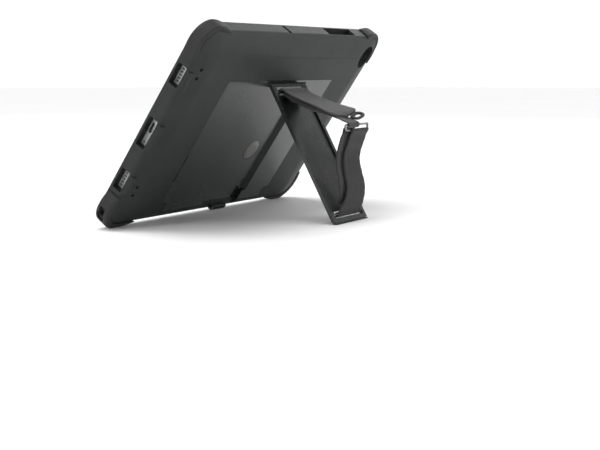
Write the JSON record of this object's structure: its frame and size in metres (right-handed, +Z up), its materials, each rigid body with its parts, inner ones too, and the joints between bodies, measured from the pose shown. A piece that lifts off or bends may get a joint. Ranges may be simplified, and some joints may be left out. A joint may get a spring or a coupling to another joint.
{
  "type": "rugged tablet data collector",
  "caption": "Tablet data collector in a rubber case with corner bumpers, a flat kickstand leg and a hand strap on the leg, standing propped up.",
  "frame": {"origin": "on the floor, under the middle of the whole object's footprint", "axes": "+X along the long side of the tablet towards its charging port, +Z up, +Y towards the kickstand's foot; the screen faces -Y and up"},
  "size_m": [0.2808, 0.1632, 0.1622],
  "materials": {
    "case_rubber": "matte moulded rubber, charcoal",
    "bumper_rubber": "matte moulded rubber, slightly lighter and warmer than the shell",
    "gloss_panel": "smooth dark moulded plastic with soft reflections",
    "leg_plastic": "smooth dark moulded plastic with raised rims",
    "steel": "polished stainless wire and pins",
    "webbing": "black woven webbing with a fuzzy face",
    "elastic": "charcoal woven elastic",
    "inner_plastic": "satin grey moulded plastic",
    "gel_blue": "soft light-blue gel, satin",
    "foam": "closed-cell foam, brown-grey",
    "aluminium": "fine bead-blasted silver anodising",
    "glass": "clear cover glass with a dark border",
    "display": "switched-off display",
    "cell": "dark pouch wrap",
    "circuit_board": "green solder mask",
    "shield_can": "plain stamped can",
    "dark_plastic": "black moulded plastic"
  },
  "bodies": {
    "case": {"case_shell": "case_rubber", "bumper_top_right": "bumper_rubber", "bumper_top_left": "bumper_rubber", "bumper_bottom_left": "bumper_rubber", "bumper_bottom_right": "bumper_rubber", "back_panel": "gloss_panel", "bottom_loop": "gloss_panel", "stand_magnet": "steel", "hinge_pin": "steel", "inner_plate": "inner_plastic", "shock_band": "inner_plastic", "damper_top_right": "gel_blue", "damper_top_left": "gel_blue", "damper_bottom_right": "gel_blue", "damper_bottom_left": "gel_blue", "foam_pad": "foam", "hub_plate": "inner_plastic", "hub_disc_left": "foam", "hub_disc_right": "foam"},
    "stand": {"stand_leg": "leg_plastic", "foot_pad": "bumper_rubber", "strap_bar_top": "steel", "strap_bar_low": "steel", "strap_webbing": "webbing", "strap_elastic": "elastic", "pull_tab": "bumper_rubber", "buckle_ring": "steel"},
    "tablet": {"tablet_housing": "aluminium", "cover_glass": "glass", "display_panel": "display", "front_camera": "dark_plastic", "battery_left": "cell", "battery_right": "cell", "main_board": "circuit_board", "board_shield": "shield_can", "port_board": "circuit_board", "usb_c_socket": "shield_can", "speaker_top_right": "dark_plastic", "speaker_top_left": "dark_plastic", "speaker_low_right": "dark_plastic", "speaker_low_left": "dark_plastic", "rear_camera": "dark_plastic", "camera_window": "glass", "key_switch_strip": "circuit_board"},
    "power_key": {"power_key": "aluminium"},
    "volume_key": {"volume_key": "aluminium"}
  },
  "joints": [
    {"name": "stand_hinge", "type": "hinge", "parent": "case", "child": "stand", "pos_m": [-0.01, 0.00949, 0.11345], "axis": [1, 0, 0], "range_deg": [-63.4, 0]},
    {"name": "tablet_release", "type": "slide", "parent": "case", "child": "tablet", "axis": [0, -0.8221, 0.5693], "range_m": [0, 0.05]},
    {"name": "power_key_press", "type": "slide", "parent": "tablet", "child": "power_key", "axis": [0, -0.5693, -0.8221], "range_m": [0, 0.0004], "stiffness_N_per_m": 300, "springref_m": -0.001},
    {"name": "volume_rock", "type": "hinge", "parent": "tablet", "child": "volume_key", "pos_m": [-0.056, 0.02207, 0.15182], "axis": [0, -0.8221, 0.5693], "range_deg": [-1, 1], "stiffness_Nm_per_rad": 0.05}
  ]
}
